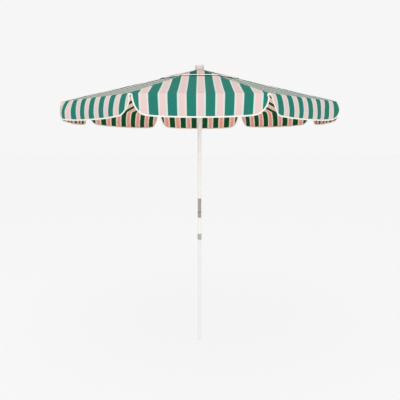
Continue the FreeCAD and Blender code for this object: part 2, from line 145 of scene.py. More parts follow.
floor_reach = 60.0
floor_grey = 0.14
floor_glow = 0.81
floor_corners = [
    (x * floor_reach, y * floor_reach, 0) for x, y in ((-1, -1), (1, -1), (1, 1), (-1, 1))
]
solid("floor", floor_corners, [(0, 1, 2, 3)], finish("studio_floor", floor_look))

world = bpy.data.worlds.new("studio")
scene.world = world
world.use_nodes = True
world.node_tree.nodes.clear()
# the sky is a little brighter to look at than the light it sheds
sky_light = 0.72
sky_seen_more = 0.202
seen = node(world.node_tree, "ShaderNodeLightPath", output="Is Camera Ray")
sky_inputs = {"Color": (1, 1, 1, 1), "Strength": sky_light + seen * sky_seen_more}
sky = node(world.node_tree, "ShaderNodeBackground", (), sky_inputs)
world_out = world.node_tree.nodes.new("ShaderNodeOutputWorld")
world.node_tree.links.new(sky.socket, world_out.inputs["Surface"])


def softbox(name, place, target, size, power):
    """A round soft lamp turned towards a point."""
    lamp = bpy.data.lights.new(name, "AREA")
    lamp.shape = "DISK"
    lamp.size = size
    lamp.energy = power
    box = linked(bpy.data.objects.new(name, lamp))
    box.location = place
    box.rotation_euler = (Vector(target) - Vector(place)).to_track_quat("-Z", "Y").to_euler()


softbox("key_light", (-3.4, -6.0, 2.8), (0, 0, 1.6), 3.0, 66)
softbox("top_light", (-0.6, -2.0, 6.5), (0, 0, 1.9), 4.0, 62)
softbox("low_light", (3.4, -4.9, 1.5), (-0.4, 0.6, 1.85), 2.0, 44)

camera = linked(bpy.data.objects.new("camera", bpy.data.cameras.new("camera")))
camera.data.lens = 41.04
camera.data.sensor_width = 36.0
camera.data.shift_x = 0.00125
camera.data.shift_y = -0.144
camera.data.clip_end = 200.0
camera.location = (0.0, -3.762, 1.629)
camera.rotation_euler = (math.radians(90), 0, 0)
scene.camera = camera


# --- Poles --------------------------------------------------------------------------------
# Drawn steel tube, 32 mm and 28 mm, coated in white gloss enamel in one baked coat.
# The lower pole slides in the middle one, so it carries faint rub lines along its length.


def paint(red, green, blue):
    """A colour as it looks on a screen, in 255ths, made linear."""
    channels = []
    for screen in (red, green, blue):
        share = screen / 255
        channels.append(share / 12.92 if share <= 0.04045 else ((share + 0.055) / 1.055) ** 2.4)
    return (*channels, 1.0)


def split(tree, vector):
    """The three parts of a vector."""
    parts = node(tree, "ShaderNodeSeparateXYZ", (), {0: vector}).socket.node.outputs
    return [Wire(tree, part) for part in parts]


def place_of(tree):
    """The Object coordinates, as a vector and as its three parts."""
    place = node(tree, "ShaderNodeTexCoord", output="Object")
    return place, *split(tree, place)


def mixed(tree, share, first, second):
    """From the first colour to the second by a share from 0 to 1."""
    contents = {0: share, 6: first, 7: second}
    return node(tree, "ShaderNodeMix", {"data_type": "RGBA"}, contents, output=2)


def noise(tree, place, scale, detail=2.0, stretch=(1, 1, 1)):
    """Even noise, about 0 to 1 with its middle at 0.5, stretched by a scale on each axis."""
    turned = node(tree, "ShaderNodeMapping", (), {"Vector": place, "Scale": stretch})
    inputs = {"Vector": turned, "Scale": scale, "Detail": detail}
    return node(tree, "ShaderNodeTexNoise", {"noise_dimensions": "3D"}, inputs)


def bumped(tree, height, distance, strength=1.0):
    """A bump normal; strength is a share, and distance is the height's full size in metres."""
    inputs = {"Height": height, "Distance": distance, "Strength": strength}
    return node(tree, "ShaderNodeBump", (), inputs)


def enamel(low, high, rub):
    """Baked gloss enamel with a fine orange peel; rub is how deep its rub lines are."""

    def look(tree):
        place, *_ = place_of(tree)
        cloudy = noise(tree, place, 3.0, 3.0, (1, 1, 0.4))
        lines = noise(tree, place, 260.0, 2.0, (1, 1, 0.012))
        peel = noise(tree, place, 420.0, 1.0)
        return {
            "Base Color": mixed(tree, cloudy, low, high),
            "Roughness": 0.2 + cloudy * 0.1 + lines * rub,
            "Coat Weight": 0.25,
            "Coat Roughness": 0.12,
            "Normal": bumped(tree, peel + lines * rub * 2.0, 0.00006),
        }

    return look


def dress(material, *names):
    """Gives CAD nodes that already have the right shape their finish."""
    for name in names:
        for slot in nodes[name].material_slots:
            slot.material = material


white_enamel = finish("white_enamel", enamel(paint(246, 244, 241), paint(251, 250, 248), 0.05))
rubbed_enamel = finish("rubbed_enamel", enamel(paint(238, 238, 238), paint(245, 245, 245), 0.16))
dress(white_enamel, "upper_pole", "mid_pole")
dress(rubbed_enamel, "lower_pole")


# --- Moulded nylon ------------------------------------------------------------------------
# The foot plug, the lock bush, the crown and the runner are injection moulded white nylon.
# It has a fine spark-eroded grain, and turns a little creamy.


def nylon_look(tree):
    place, *_ = place_of(tree)
    patches = noise(tree, place, 18.0, 2.0)
    grain = noise(tree, place, 1400.0, 1.0)
    return {
        "Base Color": mixed(tree, patches, paint(236, 233, 226), paint(228, 224, 214)),
        "Roughness": 0.42 + grain * 0.12,
        "Normal": bumped(tree, grain, 0.00008),
    }


white_nylon = finish("white_nylon", nylon_look)
dress(white_nylon, "foot_plug", "lock_bush", "crown", "runner")


# --- Steel and aluminium fittings ---------------------------------------------------------
# The tilt joint is machined from bright steel bar, brushed along the pole and left bare.
# The lock collar is a drawn aluminium sleeve, clear anodised, with a turned groove near each end.


def brushed(light, dark, scratch, groove_heights=()):
    """Bare metal brushed along the pole; its grooves run round it at some heights."""

    def look(tree):
        place, _, _, z = place_of(tree)
        strokes = noise(tree, place, 700.0, 3.0, (1, 1, 0.01))
        cloudy = noise(tree, place, 22.0, 2.0, (1, 1, 0.3))
        shade = (strokes * 0.7 + cloudy * 0.5 - 0.1).clipped()
        depth = strokes * scratch
        for height in groove_heights:
            depth = depth - (1 - abs(z - height) / groove_half).clipped() * groove_deep
        return {
            "Base Color": mixed(tree, shade, dark, light),
            "Metallic": 1.0,
            "Roughness": 0.34 + cloudy * 0.12,
            "Normal": bumped(tree, depth, 0.0001),
        }

    return look


groove_half = 0.0012
groove_deep = 3.0
collar_low, collar_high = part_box("lock_collar")
collar_rings = [collar_low.z + inset for inset in (0.006, 0.009)]
collar_rings += [collar_high.z - inset for inset in (0.009, 0.006)]
anodised = brushed(paint(192, 191, 186), paint(172, 171, 166), 0.4, collar_rings)
grey_collar = finish("grey_collar", anodised)
tilt_steel = finish("tilt_steel", brushed(paint(190, 184, 179), paint(146, 140, 135), 0.7))
pin_steel = finish("pin_steel", brushed(paint(205, 203, 200), paint(176, 174, 170), 0.3))
dress(grey_collar, "lock_collar")
dress(tilt_steel, "tilt_fork", "tilt_tongue")
dress(pin_steel, "tilt_pin", "tilt_washers", "catch_rivet", "runner_catch")
dress(pin_steel, "crown_pins", "runner_pins")


# --- Tilt pin heads and saddle ------------------------------------------------------------
# The tilt pin's two ends are peened over on the outside of the fork into low round heads,
# which keep the cheeks pressed on the friction washers. A turned steel saddle is pressed into
# the bottom of the fork's slot, and the tongue's round end swings just clear of it.


def tube_faces(rings, count):
    """The walls between rings of points, and a cap on each end."""
    faces = []
    for ring in range(rings - 1):
        near, far = ring * count, (ring + 1) * count
        for step in range(count):
            following = (step + 1) % count
            faces.append((near + step, near + following, far + following, far + step))
    faces.append(tuple(reversed(range(count))))
    faces.append(tuple(range((rings - 1) * count, rings * count)))
    return faces


def lathe(name, outline, material, steps=64):
    """Turns an outline of (radius, height) points, bottom to top, once about the Z axis."""
    points = []
    for radius, height in outline:
        for step in range(steps):
            turn = 2 * math.pi * step / steps
            points.append((radius * math.cos(turn), radius * math.sin(turn), height))
    piece = solid(name, points, tube_faces(len(outline), steps), material)
    piece.data.shade_smooth()
    return piece


pin_low, pin_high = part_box("tilt_pin")
pin_centre = (pin_low + pin_high) / 2
dome_radius = 0.0052
dome_foot = 0.0008
dome_height = 0.0014
head_outline = [(0.0058, -0.0006), (0.0058, 0.0002), (0.0055, dome_foot)]
for slope in (0.3, 0.7, 1.1, 1.4):
    rise = dome_foot + dome_height * math.sin(slope)
    head_outline.append((dome_radius * math.cos(slope), rise))
for name, end, hand in (("pin_head_right", pin_high.x, 1), ("pin_head_left", pin_low.x, -1)):
    head = lathe(name, head_outline, pin_steel, 24)
    lay = Matrix.Rotation(hand * math.pi / 2, 4, "Y")
    head.data.transform(Matrix.Translation((end, 0, pin_centre.z)) @ lay)
    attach(head, "mid_pole")

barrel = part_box("tilt_fork")[1].x
half_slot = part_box("tilt_washers")[1].x
swing_gap = 0.0006
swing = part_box("tilt_tongue")[1].y + swing_gap
slot_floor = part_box("tilt_tongue")[0].z - 0.013
shallowest = 0.0065
barrel_gap = 0.0003
saddle_columns = 6
saddle_rows = 16
saddle_points = []
for column in range(saddle_columns + 1):
    across = half_slot * (2 * column / saddle_columns - 1)
    reach_out = math.sqrt(barrel**2 - across**2) - barrel_gap
    for row in range(saddle_rows + 1):
        deep = reach_out * (2 * row / saddle_rows - 1)
        dip = max(shallowest, math.sqrt(max(0.0, swing**2 - deep**2)))
        saddle_points.append((across, deep, pin_centre.z - dip))
        saddle_points.append((across, deep, slot_floor))


def saddle_corner(column, row):
    """The top point at a place in the saddle's grid; the point below it is the next one."""
    return (column * (saddle_rows + 1) + row) * 2


def saddle_wall(first, second):
    """The wall under two of the saddle's top points."""
    return (first, first + 1, second + 1, second)


saddle_faces = []
for column in range(saddle_columns):
    for row in range(saddle_rows):
        near = saddle_corner(column, row)
        far = saddle_corner(column + 1, row)
        saddle_faces.append((near, far, far + 2, near + 2))
        saddle_faces.append((near + 1, near + 3, far + 3, far + 1))
    for row, turned in ((0, True), (saddle_rows, False)):
        wall = saddle_wall(saddle_corner(column, row), saddle_corner(column + 1, row))
        saddle_faces.append(wall if turned else wall[::-1])
for column, turned in ((0, False), (saddle_columns, True)):
    for row in range(saddle_rows):
        wall = saddle_wall(saddle_corner(column, row), saddle_corner(column, row + 1))
        saddle_faces.append(wall if turned else wall[::-1])
saddle = solid("tilt_saddle", saddle_points, saddle_faces, tilt_steel)
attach(saddle, "mid_pole")


# --- Ribs, stays and rib fittings ---------------------------------------------------------
# Ribs and stays are round spring steel, zinc plated. Each rib carries a pressed bracket and rivet
# for its stay, and ends in a dull pink plastic tip that the cloth's corner is pulled over.


def zinc_look(tree):
    place, *_ = place_of(tree)
    crystals = {"Vector": place, "Scale": 260.0}
    spangle = node(tree, "ShaderNodeTexVoronoi", {"feature": "F1"}, crystals, "Color")
    grey = node(tree, "ShaderNodeSeparateColor", (), {0: spangle})
    cloudy = noise(tree, place, 9.0, 3.0)
    shade = grey * 0.5 + cloudy * 0.5
    return {
        "Base Color": mixed(tree, shade, paint(172, 173, 172), paint(205, 205, 202)),
        "Metallic": 0.9,
        "Roughness": 0.3 + cloudy * 0.15,
        "Normal": bumped(tree, grey, 0.00003),
    }


def fitting_look(tree):
    """Pressed steel near the pole, and pink plastic from 0.9 m out."""
    place, x, y, _ = place_of(tree)
    reach_out = (x * x + y * y).math("SQRT")
    tip = ((reach_out - 0.9) * 50.0).clipped()
    cloudy = noise(tree, place, 120.0, 2.0)
    steel = mixed(tree, cloudy, paint(150, 148, 146), paint(186, 184, 180))
    plastic = mixed(tree, cloudy, paint(182, 92, 112), paint(198, 110, 126))
    return {
        "Base Color": mixed(tree, tip, steel, plastic),
        "Metallic": 0.9 - tip * 0.9,
        "Roughness": 0.36 + cloudy * 0.1,
        "Normal": bumped(tree, cloudy, 0.00006),
    }


zinc_plate = finish("zinc_plate", zinc_look)
rib_fitting = finish("rib_fitting", fitting_look)
ribs = range(1, 9)
dress(zinc_plate, *(f"rib_{rib}" for rib in ribs), *(f"stay_{rib}" for rib in ribs))
dress(rib_fitting, *(f"rib_fittings_{rib}" for rib in ribs))


# --- Finial -------------------------------------------------------------------------------
# A pale pink moulded cap whose stem is pressed into the crown. Its skirt covers the eyelet
# of the vent cloth, its top edge is well rounded, and a shallow ring is moulded in its top.


def arc(centre_out, centre_up, radius, start, end, steps):
    """Points along an arc of an outline, from one angle to another in degrees."""
    points = []
    for step in range(steps + 1):
        turn = math.radians(start + (end - start) * step / steps)
        points.append((centre_out + radius * math.cos(turn), centre_up + radius * math.sin(turn)))
    return points


def finial_look(tree):
    place, _, _, z = place_of(tree)
    # painted shade: the cap runs from a darker pink at its skirt to a paler pink at its top, as
    # if lit from above
    fading_and_shade = ((z - skirt) / (finial_top - skirt) * 1.5 - 0.45).clipped()
    flow = noise(tree, place, 55.0, 3.0, (1, 1, 0.4))
    grain = noise(tree, place, 1500.0, 1.0)
    colour = mixed(tree, fading_and_shade, paint(222, 202, 200), paint(242, 236, 238))
    return {
        "Base Color": mixed(tree, flow * 0.35, colour, paint(240, 226, 222)),
        "Roughness": 0.38 + grain * 0.1,
        "Normal": bumped(tree, grain, 0.00006),
    }


finial_low, finial_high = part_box("finial")
finial_top = finial_high.z
finial_radius = finial_high.x
skirt = finial_top - 0.045
stem_radius = 0.006
outline = [
    (stem_radius, finial_low.z),
    (stem_radius, skirt + 0.012),
    (finial_radius - 0.004, skirt + 0.012),
    (finial_radius - 0.004, skirt + 0.0008),
    *arc(finial_radius - 0.0008, skirt + 0.0008, 0.0008, -90, 0, 4),
    (finial_radius, skirt + 0.0045),
    *arc(finial_radius + 0.0002, skirt + 0.0057, 0.0009, -110, -250, 5),
    (finial_radius, skirt + 0.007),
    *arc(finial_radius - 0.009, finial_top - 0.0092, 0.009, 0, 82, 12),
    (finial_radius - 0.0145, finial_top - 0.0003),
    *arc(finial_radius - 0.0165, finial_top - 0.0002, 0.0014, -10, -170, 6),
    (finial_radius - 0.0195, finial_top),
    (0.003, finial_top),
]
pink_cap = lathe("finial_cap", outline, finish("finial_plastic", finial_look))
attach(pink_cap, "upper_pole")
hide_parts("finial")


# --- Canopy cloth -------------------------------------------------------------------------
# Eight gores of printed acrylic canvas, sewn together along the ribs, under a vent of eight
# more. The stripes run straight down each gore, so they meet in points at the ribs. The gores
# are cut a few mm slack, with folded hems, and white tape binds the vent's edge.

half_turn = math.radians(22.5)
apothem = -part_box("valance_6")[0].y
rib_reach = apothem / math.cos(half_turn)
side_half = rib_reach * math.sin(half_turn)
hem_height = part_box("canopy_6")[0].z
roof_pitch = math.radians(15.3)
apex_height = hem_height + rib_reach * math.tan(roof_pitch)
stripe = 0.116
print_sharpness = 140.0
yarn = 0.0011


def canvas(green, pink, cream, green_share, cream_from, fading_and_shade):
    """Woven cloth with broad stripes; the cloth coordinates are metres off the middle of a pink
    stripe, and metres up from the hem."""

    def look(tree):
        cloth = node(tree, "ShaderNodeUVMap", {"uv_map": "cloth"})
        across, along, _ = split(tree, cloth)
        wander = noise(tree, cloth, 26.0, 2.0) * 0.0016 - 0.0008
        phase = ((across + wander) / stripe + 0.5).math("FRACT") - 0.5
        off_middle = abs(phase)
        creamy = ((off_middle - cream_from) * print_sharpness + 0.5).clipped()
        green_from = (1 - green_share) / 2
        greenish = ((off_middle - green_from) * print_sharpness + 0.5).clipped()
        warp_slubs = noise(tree, cloth, 1.0, 3.0, (2200, 60, 1))
        weft_slubs = noise(tree, cloth, 1.0, 3.0, (60, 2200, 1))
        slubs = warp_slubs * 0.5 + weft_slubs * 0.5
        fading = noise(tree, cloth, 7.0, 3.0)
        printed = mixed(tree, creamy, pink, cream)
        printed = mixed(tree, greenish, printed, green)
        worn = mixed(tree, (slubs - 0.5) * 0.3 * greenish + fading * fading_and_shade, printed, cream)
        warp = (across * (2 * math.pi / yarn)).math("SINE")
        weft = (along * (2 * math.pi / yarn)).math("SINE")
        creases = noise(tree, cloth, 5.0, 3.0)
        weave = warp * weft * 0.00011 + slubs * 0.00025 + creases * 0.004
        return {
            "Base Color": worn,
            "Roughness": 0.78 + slubs * 0.12,
            "Specular IOR Level": 0.08,
            "Normal": bumped(tree, weave, 1.0, 0.35),
        }

    return look


canvas_outside = finish(
    "striped_canvas_outside",
    canvas(paint(24, 120, 106), paint(226, 198, 195), paint(212, 222, 214), 0.5, 0.165, 0.03),
)
# the vent's colours are painted darker than the roof's: painted shade for the two layers it is
# sewn from, which let less light come up through it
vent_canvas_painted_shade = finish(
    "striped_canvas_vent",
    canvas(paint(14, 94, 80), paint(218, 186, 180), paint(206, 208, 198), 0.48, 0.175, 0.02),
)
# the underside's colours are painted shade and backlight: the stripes as they look in shade under
# the canopy, a deep green, and a saturated salmon where light shines through the cloth
inside_canvas_painted_shade_and_backlight = finish(
    "striped_canvas_inside",
    canvas(paint(0, 82, 46), paint(253, 174, 162), paint(250, 238, 220), 0.475, 0.14, 0.0),
)


def socketed(tree, sizes):
    """Gives a tree its geometry output and one named input for each size."""
    tree.interface.new_socket("Geometry", in_out="OUTPUT", socket_type="NodeSocketGeometry")
    for name, kind in sizes.items():
        tree.interface.new_socket(name, in_out="INPUT", socket_type=f"NodeSocket{kind}")
    entry = tree.nodes.new("NodeGroupInput")
    return {name: Wire(tree, entry.outputs[name]) for name in sizes}


def closed_tree(tree, shape, material):
    """Ends a tree: instances made real, a material set, and out."""
    real = node(tree, "GeometryNodeRealizeInstances", (), {0: shape})
    coloured = node(tree, "GeometryNodeSetMaterial", (), {"Geometry": real, "Material": material})
    leave = tree.nodes.new("NodeGroupOutput")
    tree.links.new(coloured.socket, leave.inputs[0])


def grown(name, tree, sizes, start=None):
    """Runs a tree once and keeps its result as a plain mesh."""
    piece = linked(bpy.data.objects.new(name, start or bpy.data.meshes.new(name)))
    modifier = piece.modifiers.new("shape", "NODES")
    modifier.node_group = tree
    for item in tree.interface.items_tree:
        if item.in_out == "INPUT" and item.name in sizes:
            modifier[item.identifier] = sizes[item.name]
    bpy.context.view_layer.update()
    shaped = piece.evaluated_get(bpy.context.evaluated_depsgraph_get())
    mesh = bpy.data.meshes.new_from_object(shaped)
    piece.modifiers.remove(modifier)
    piece.data = mesh
    mesh.shade_smooth()
    return piece


gore_tree = bpy.data.node_groups.new("gore_cloth", "GeometryNodeTree")
size = socketed(
    gore_tree,
    {
        "Turn": "Float",
        "Reach": "Float",
        "Hole": "Float",
        "Hem Height": "Float",
        "Fold": "Float",
        "Hem Lean": "Float",
        "Slack": "Float",
        "Shift Ahead": "Float",
        "Shift Behind": "Float",
        "Rows": "Int",
        "Columns": "Int",
        "Material": "Material",
    },
)
pitch = math.atan(math.tan(roof_pitch) / math.cos(half_turn))
roof_lean = math.pi / 2 - pitch
hem_rows = 0.15
pucker_spacing = 0.052
pucker_height = 0.0009
pucker_spread = 0.035
ridge_height = 0.0012
ridge_spread = 0.00003


def half_gore(hand, stripe_shift):
    """The cloth on one side of a rib, out to the middle of the gore; hand is 1 or -1."""
    grid = node(
        gore_tree,
        "GeometryNodeMeshGrid",
        (),
        {"Size X": 1.0, "Size Y": 1.0, "Vertices X": size["Columns"], "Vertices Y": size["Rows"]},
    )
    spot_x, spot_y, _ = split(gore_tree, node(gore_tree, "GeometryNodeInputPosition"))
    off_rib = (spot_x + 0.5).math("POWER", 1.5)
    climb = spot_y + 0.5
    # the hem turns down over a small radius, and the rest of the gore is straight
    folded = (climb / hem_rows).math("MINIMUM", 1.0)
    on_slope = ((climb - hem_rows) / (1 - hem_rows)).math("MAXIMUM", 0.0)
    fold_in = size["Fold"] * (size["Hem Lean"].math("COSINE") - math.cos(roof_lean))
    fold_up = size["Fold"] * (math.sin(roof_lean) - size["Hem Lean"].math("SINE"))
    gore_apothem = size["Reach"] * math.cos(half_turn)
    slope_length = (gore_apothem - size["Hole"] * math.cos(half_turn) - fold_in) / math.cos(pitch)
    lean = size["Hem Lean"] + folded * (roof_lean - size["Hem Lean"])
    inward = size["Fold"] * (size["Hem Lean"].math("COSINE") - lean.math("COSINE"))
    inward = inward + on_slope * slope_length * math.cos(pitch)
    upward = size["Fold"] * (lean.math("SINE") - size["Hem Lean"].math("SINE"))
    upward = upward + on_slope * slope_length * math.sin(pitch)
    run = size["Fold"] * (lean - size["Hem Lean"]) + on_slope * slope_length
    share = 1 - inward / gore_apothem
    # slack between the ribs, small puckers drawn in by the seam, and the seam's own ridge
    taut = on_slope * (1 - on_slope) * 4.0
    slack = size["Slack"] * (off_rib * (math.pi / 2)).math("SINE") * taut
    rib_gap = off_rib * share * size["Reach"] * (math.sin(2 * half_turn) / 2)
    near_seam = (rib_gap / -pucker_spread).math("EXPONENT")
    pucker = (run * (2 * math.pi / pucker_spacing)).math("SINE") * near_seam * pucker_height
    ridge = (rib_gap * rib_gap / -ridge_spread).math("EXPONENT") * ridge_height
    ridge = ridge * (1 - (on_slope / -0.02).math("EXPONENT"))
    height = size["Hem Height"] + fold_in * math.tan(pitch) - fold_up + upward
    height = height - slack + pucker * taut + ridge
    outward = share * size["Reach"] * (1 - off_rib * math.sin(half_turn) ** 2)
    sideways = share * size["Reach"] * off_rib * (hand * math.sin(2 * half_turn) / 2)
    target = node(gore_tree, "ShaderNodeCombineXYZ", (), {0: outward, 1: sideways, 2: height})
    target = node(
        gore_tree,
        "ShaderNodeVectorRotate",
        {"rotation_type": "Z_AXIS"},
        {"Vector": target, "Angle": size["Turn"]},
    )
    across = share * size["Reach"] * (-hand * math.sin(half_turn)) * (1 - off_rib) - stripe_shift
    cloth_place = node(gore_tree, "ShaderNodeCombineXYZ", (), {0: across, 1: run, 2: 0.0})
    mapped = node(
        gore_tree,
        "GeometryNodeStoreNamedAttribute",
        {"data_type": "FLOAT2", "domain": "CORNER"},
        {"Geometry": grid, "Name": "cloth", "Value": cloth_place},
    )
    moved = {"Geometry": mapped, "Position": target}
    draped = node(gore_tree, "GeometryNodeSetPosition", (), moved)
    if hand > 0:
        return draped
    return node(gore_tree, "GeometryNodeFlipFaces", (), {0: draped})


both = gore_tree.nodes.new("GeometryNodeJoinGeometry")
gore_tree.links.new(half_gore(1, size["Shift Ahead"]).socket, both.inputs[0])
gore_tree.links.new(half_gore(-1, size["Shift Behind"]).socket, both.inputs[0])
halves = {"Geometry": Wire(gore_tree, both.outputs[0]), "Distance": 0.00002}
joined = node(gore_tree, "GeometryNodeMergeByDistance", (), halves)
closed_tree(gore_tree, joined, size["Material"])


cloth_thick = 0.0008


def tailored(piece, outside):
    """Gives cloth its thickness inwards, with its printed side out and its other side in."""
    piece.data.materials.clear()
    piece.data.materials.append(outside)
    # the inner side takes the underside canvas, whose colours hold painted shade and backlight
    piece.data.materials.append(inside_canvas_painted_shade_and_backlight)
    cut = bmesh.new()
    cut.from_mesh(piece.data)
    for edge in cut.edges:
        edge.smooth = not edge.is_boundary
    cut.to_mesh(piece.data)
    cut.free()
    wall = piece.modifiers.new("cloth", "SOLIDIFY")
    wall.thickness = cloth_thick
    wall.offset = -1.0
    wall.material_offset = 1


def rib_turn(rib):
    """How far round the pole a rib stands."""
    return half_turn * (2 * rib - 1)


def gathered(piece, rib):
    """Rides on a rib."""
    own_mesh(piece)
    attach(piece, f"rib_{rib}")


def spun(light, dark):
    """Polyester sewing thread, a little uneven along its twist."""

    def look(tree):
        place, *_ = place_of(tree)
        twist = noise(tree, place, 900.0, 1.0)
        return {
            "Base Color": mixed(tree, twist, light, dark),
            "Roughness": 0.6 + twist * 0.1,
            "Normal": bumped(tree, twist, 0.0001),
        }

    return look


white_thread = finish("white_thread", spun(paint(246, 244, 238), paint(222, 218, 208)))
sage_thread = finish("sage_thread", spun(paint(150, 176, 162), paint(126, 162, 146)))
stitch_tree = bpy.data.node_groups.new("stitch_row", "GeometryNodeTree")
stitch_tree.interface.new_socket("Seam", in_out="INPUT", socket_type="NodeSocketGeometry")
stitch = socketed(
    stitch_tree,
    {"Spacing": "Float", "Length": "Float", "Thickness": "Float", "Material": "Material"},
)
seam_line = Wire(stitch_tree, stitch_tree.nodes["Group Input"].outputs["Seam"])
seam_curve = node(stitch_tree, "GeometryNodeMeshToCurve", (), {0: seam_line})
spaced = node(
    stitch_tree,
    "GeometryNodeResampleCurve",
    {"mode": "LENGTH"},
    {"Curve": seam_curve, "Length": stitch["Spacing"]},
)
ball = {"Segments": 5, "Rings": 4, "Radius": 0.5}
bead = node(stitch_tree, "GeometryNodeMeshUVSphere", (), ball)
bead_sides = {0: stitch["Length"], 1: stitch["Thickness"], 2: stitch["Thickness"]}
bead_size = node(stitch_tree, "ShaderNodeCombineXYZ", (), bead_sides)
bead = node(stitch_tree, "GeometryNodeTransform", (), {"Geometry": bead, "Scale": bead_size})
heading = node(
    stitch_tree,
    "FunctionNodeAlignRotationToVector",
    {"axis": "X"},
    {"Vector": node(stitch_tree, "GeometryNodeInputTangent")},
)
lying = {"Points": spaced, "Instance": bead, "Rotation": heading}
sewn = node(stitch_tree, "GeometryNodeInstanceOnPoints", (), lying)
closed_tree(stitch_tree, sewn, stitch["Material"])


def stitched(name, rows, thread, spacing, thick):
    """Lockstitches along rows of points that lie on the cloth."""
    points = [point for row in rows for point in row]
    edges = []
    count = 0
    for row in rows:
        edges += [(count + step, count + step + 1) for step in range(len(row) - 1)]
        count += len(row)
    seam = bpy.data.meshes.new(name)
    seam.from_pydata(points, edges, [])
    sizes = {"Spacing": spacing, "Length": spacing * 0.72, "Thickness": thick, "Material": thread}
    return grown(name, stitch_tree, sizes, seam)


def around(turn, out, sideways, height):
    """The place that is some way outwards along a turn, sideways from there, and up."""
    x = out * math.cos(turn) - sideways * math.sin(turn)
    y = out * math.sin(turn) + sideways * math.cos(turn)
    return Vector((x, y, height))


def on_cloth(cloth, turn, out, sideways):
    """A point just off the upper side of a cloth, above a place on the ground."""
    _, place, normal, _ = cloth.ray_cast(around(turn, out, sideways, 3), Vector((0, 0, -1)))
    return place + normal * 0.0002


def mapped_mesh(name, points, faces, places, material):
    """A piece with its own cloth coordinates, one pair for each point."""
    piece = solid(name, points, faces, material)
    layer = piece.data.uv_layers.new(name="cloth")
    for loop in piece.data.loops:
        layer.data[loop.index].uv = places[loop.vertex_index]
    piece.data.shade_smooth()
    return piece


def tape_look(tree):
    """White cotton tape with fine ribs across it."""
    tape = node(tree, "ShaderNodeUVMap", {"uv_map": "cloth"})
    _, along, _ = split(tree, tape)
    ribbing = (along * (2 * math.pi / 0.0014)).math("SINE")
    soil = noise(tree, tape, 30.0, 3.0)
    return {
        "Base Color": mixed(tree, soil, paint(250, 248, 244), paint(240, 236, 228)),
        "Roughness": 0.7 + soil * 0.1,
        "Sheen Weight": 0.2,
        "Normal": bumped(tree, ribbing, 0.00012, 0.5),
    }


white_tape = finish("white_tape", tape_look)


def vent_tape(rib):
    """Tape that binds the vent's turned-down edge, out to the middles of the two gores."""
    outside = [(-0.0002, -0.0012)]
    inside = [(0.0006, -0.001)]
    for step in range(5):
        turned = vent_lean + (roof_lean - vent_lean) * step / 4
        inward = vent_fold * (math.cos(vent_lean) - math.cos(turned))
        up = vent_fold * (math.sin(turned) - math.sin(vent_lean))
        for line, lift in ((outside, 0.0009), (inside, -0.0017)):
            line.append((inward - math.cos(turned) * lift, up + math.sin(turned) * lift))
    profile = outside[::-1] + inside
    half_steps = 12
    points = []
    places = []
    for step in range(-half_steps, half_steps + 1):
        hand = -1 if step < 0 else 1
        off_rib = abs(step) / half_steps
        for index, (inward, up) in enumerate(profile):
            share = vent_reach - inward / math.cos(half_turn)
            out = share * (1 - off_rib * math.sin(half_turn) ** 2)
            sideways = share * off_rib * hand * math.sin(2 * half_turn) / 2
            points.append(around(rib_turn(rib), out, sideways, vent_edge_height + up))
            places.append((index * 0.0016, hand * off_rib * vent_reach * math.sin(half_turn)))
    faces = tube_faces(2 * half_steps + 1, len(profile))
    return mapped_mesh(f"vent_tape_{rib}", points, faces, places, white_tape)


roof_edge_height = hem_height + 0.001
hem_fold = 0.014
hem_lean = math.radians(28)
roof_hole = 0.24
vent_fold = 0.006
vent_lean = math.radians(12)
vent_reach = 0.341
vent_hole = 0.02
vent_lift = 0.0075
vent_edge_height = apex_height + vent_lift - vent_reach * math.tan(roof_pitch)
stitch_spacing = 0.006
stitch_thick = 0.0005
seam_off_rib = 0.0065
seam_steps = 48
hem_steps = 24
hem_start = 0.02
hem_stop = 0.995
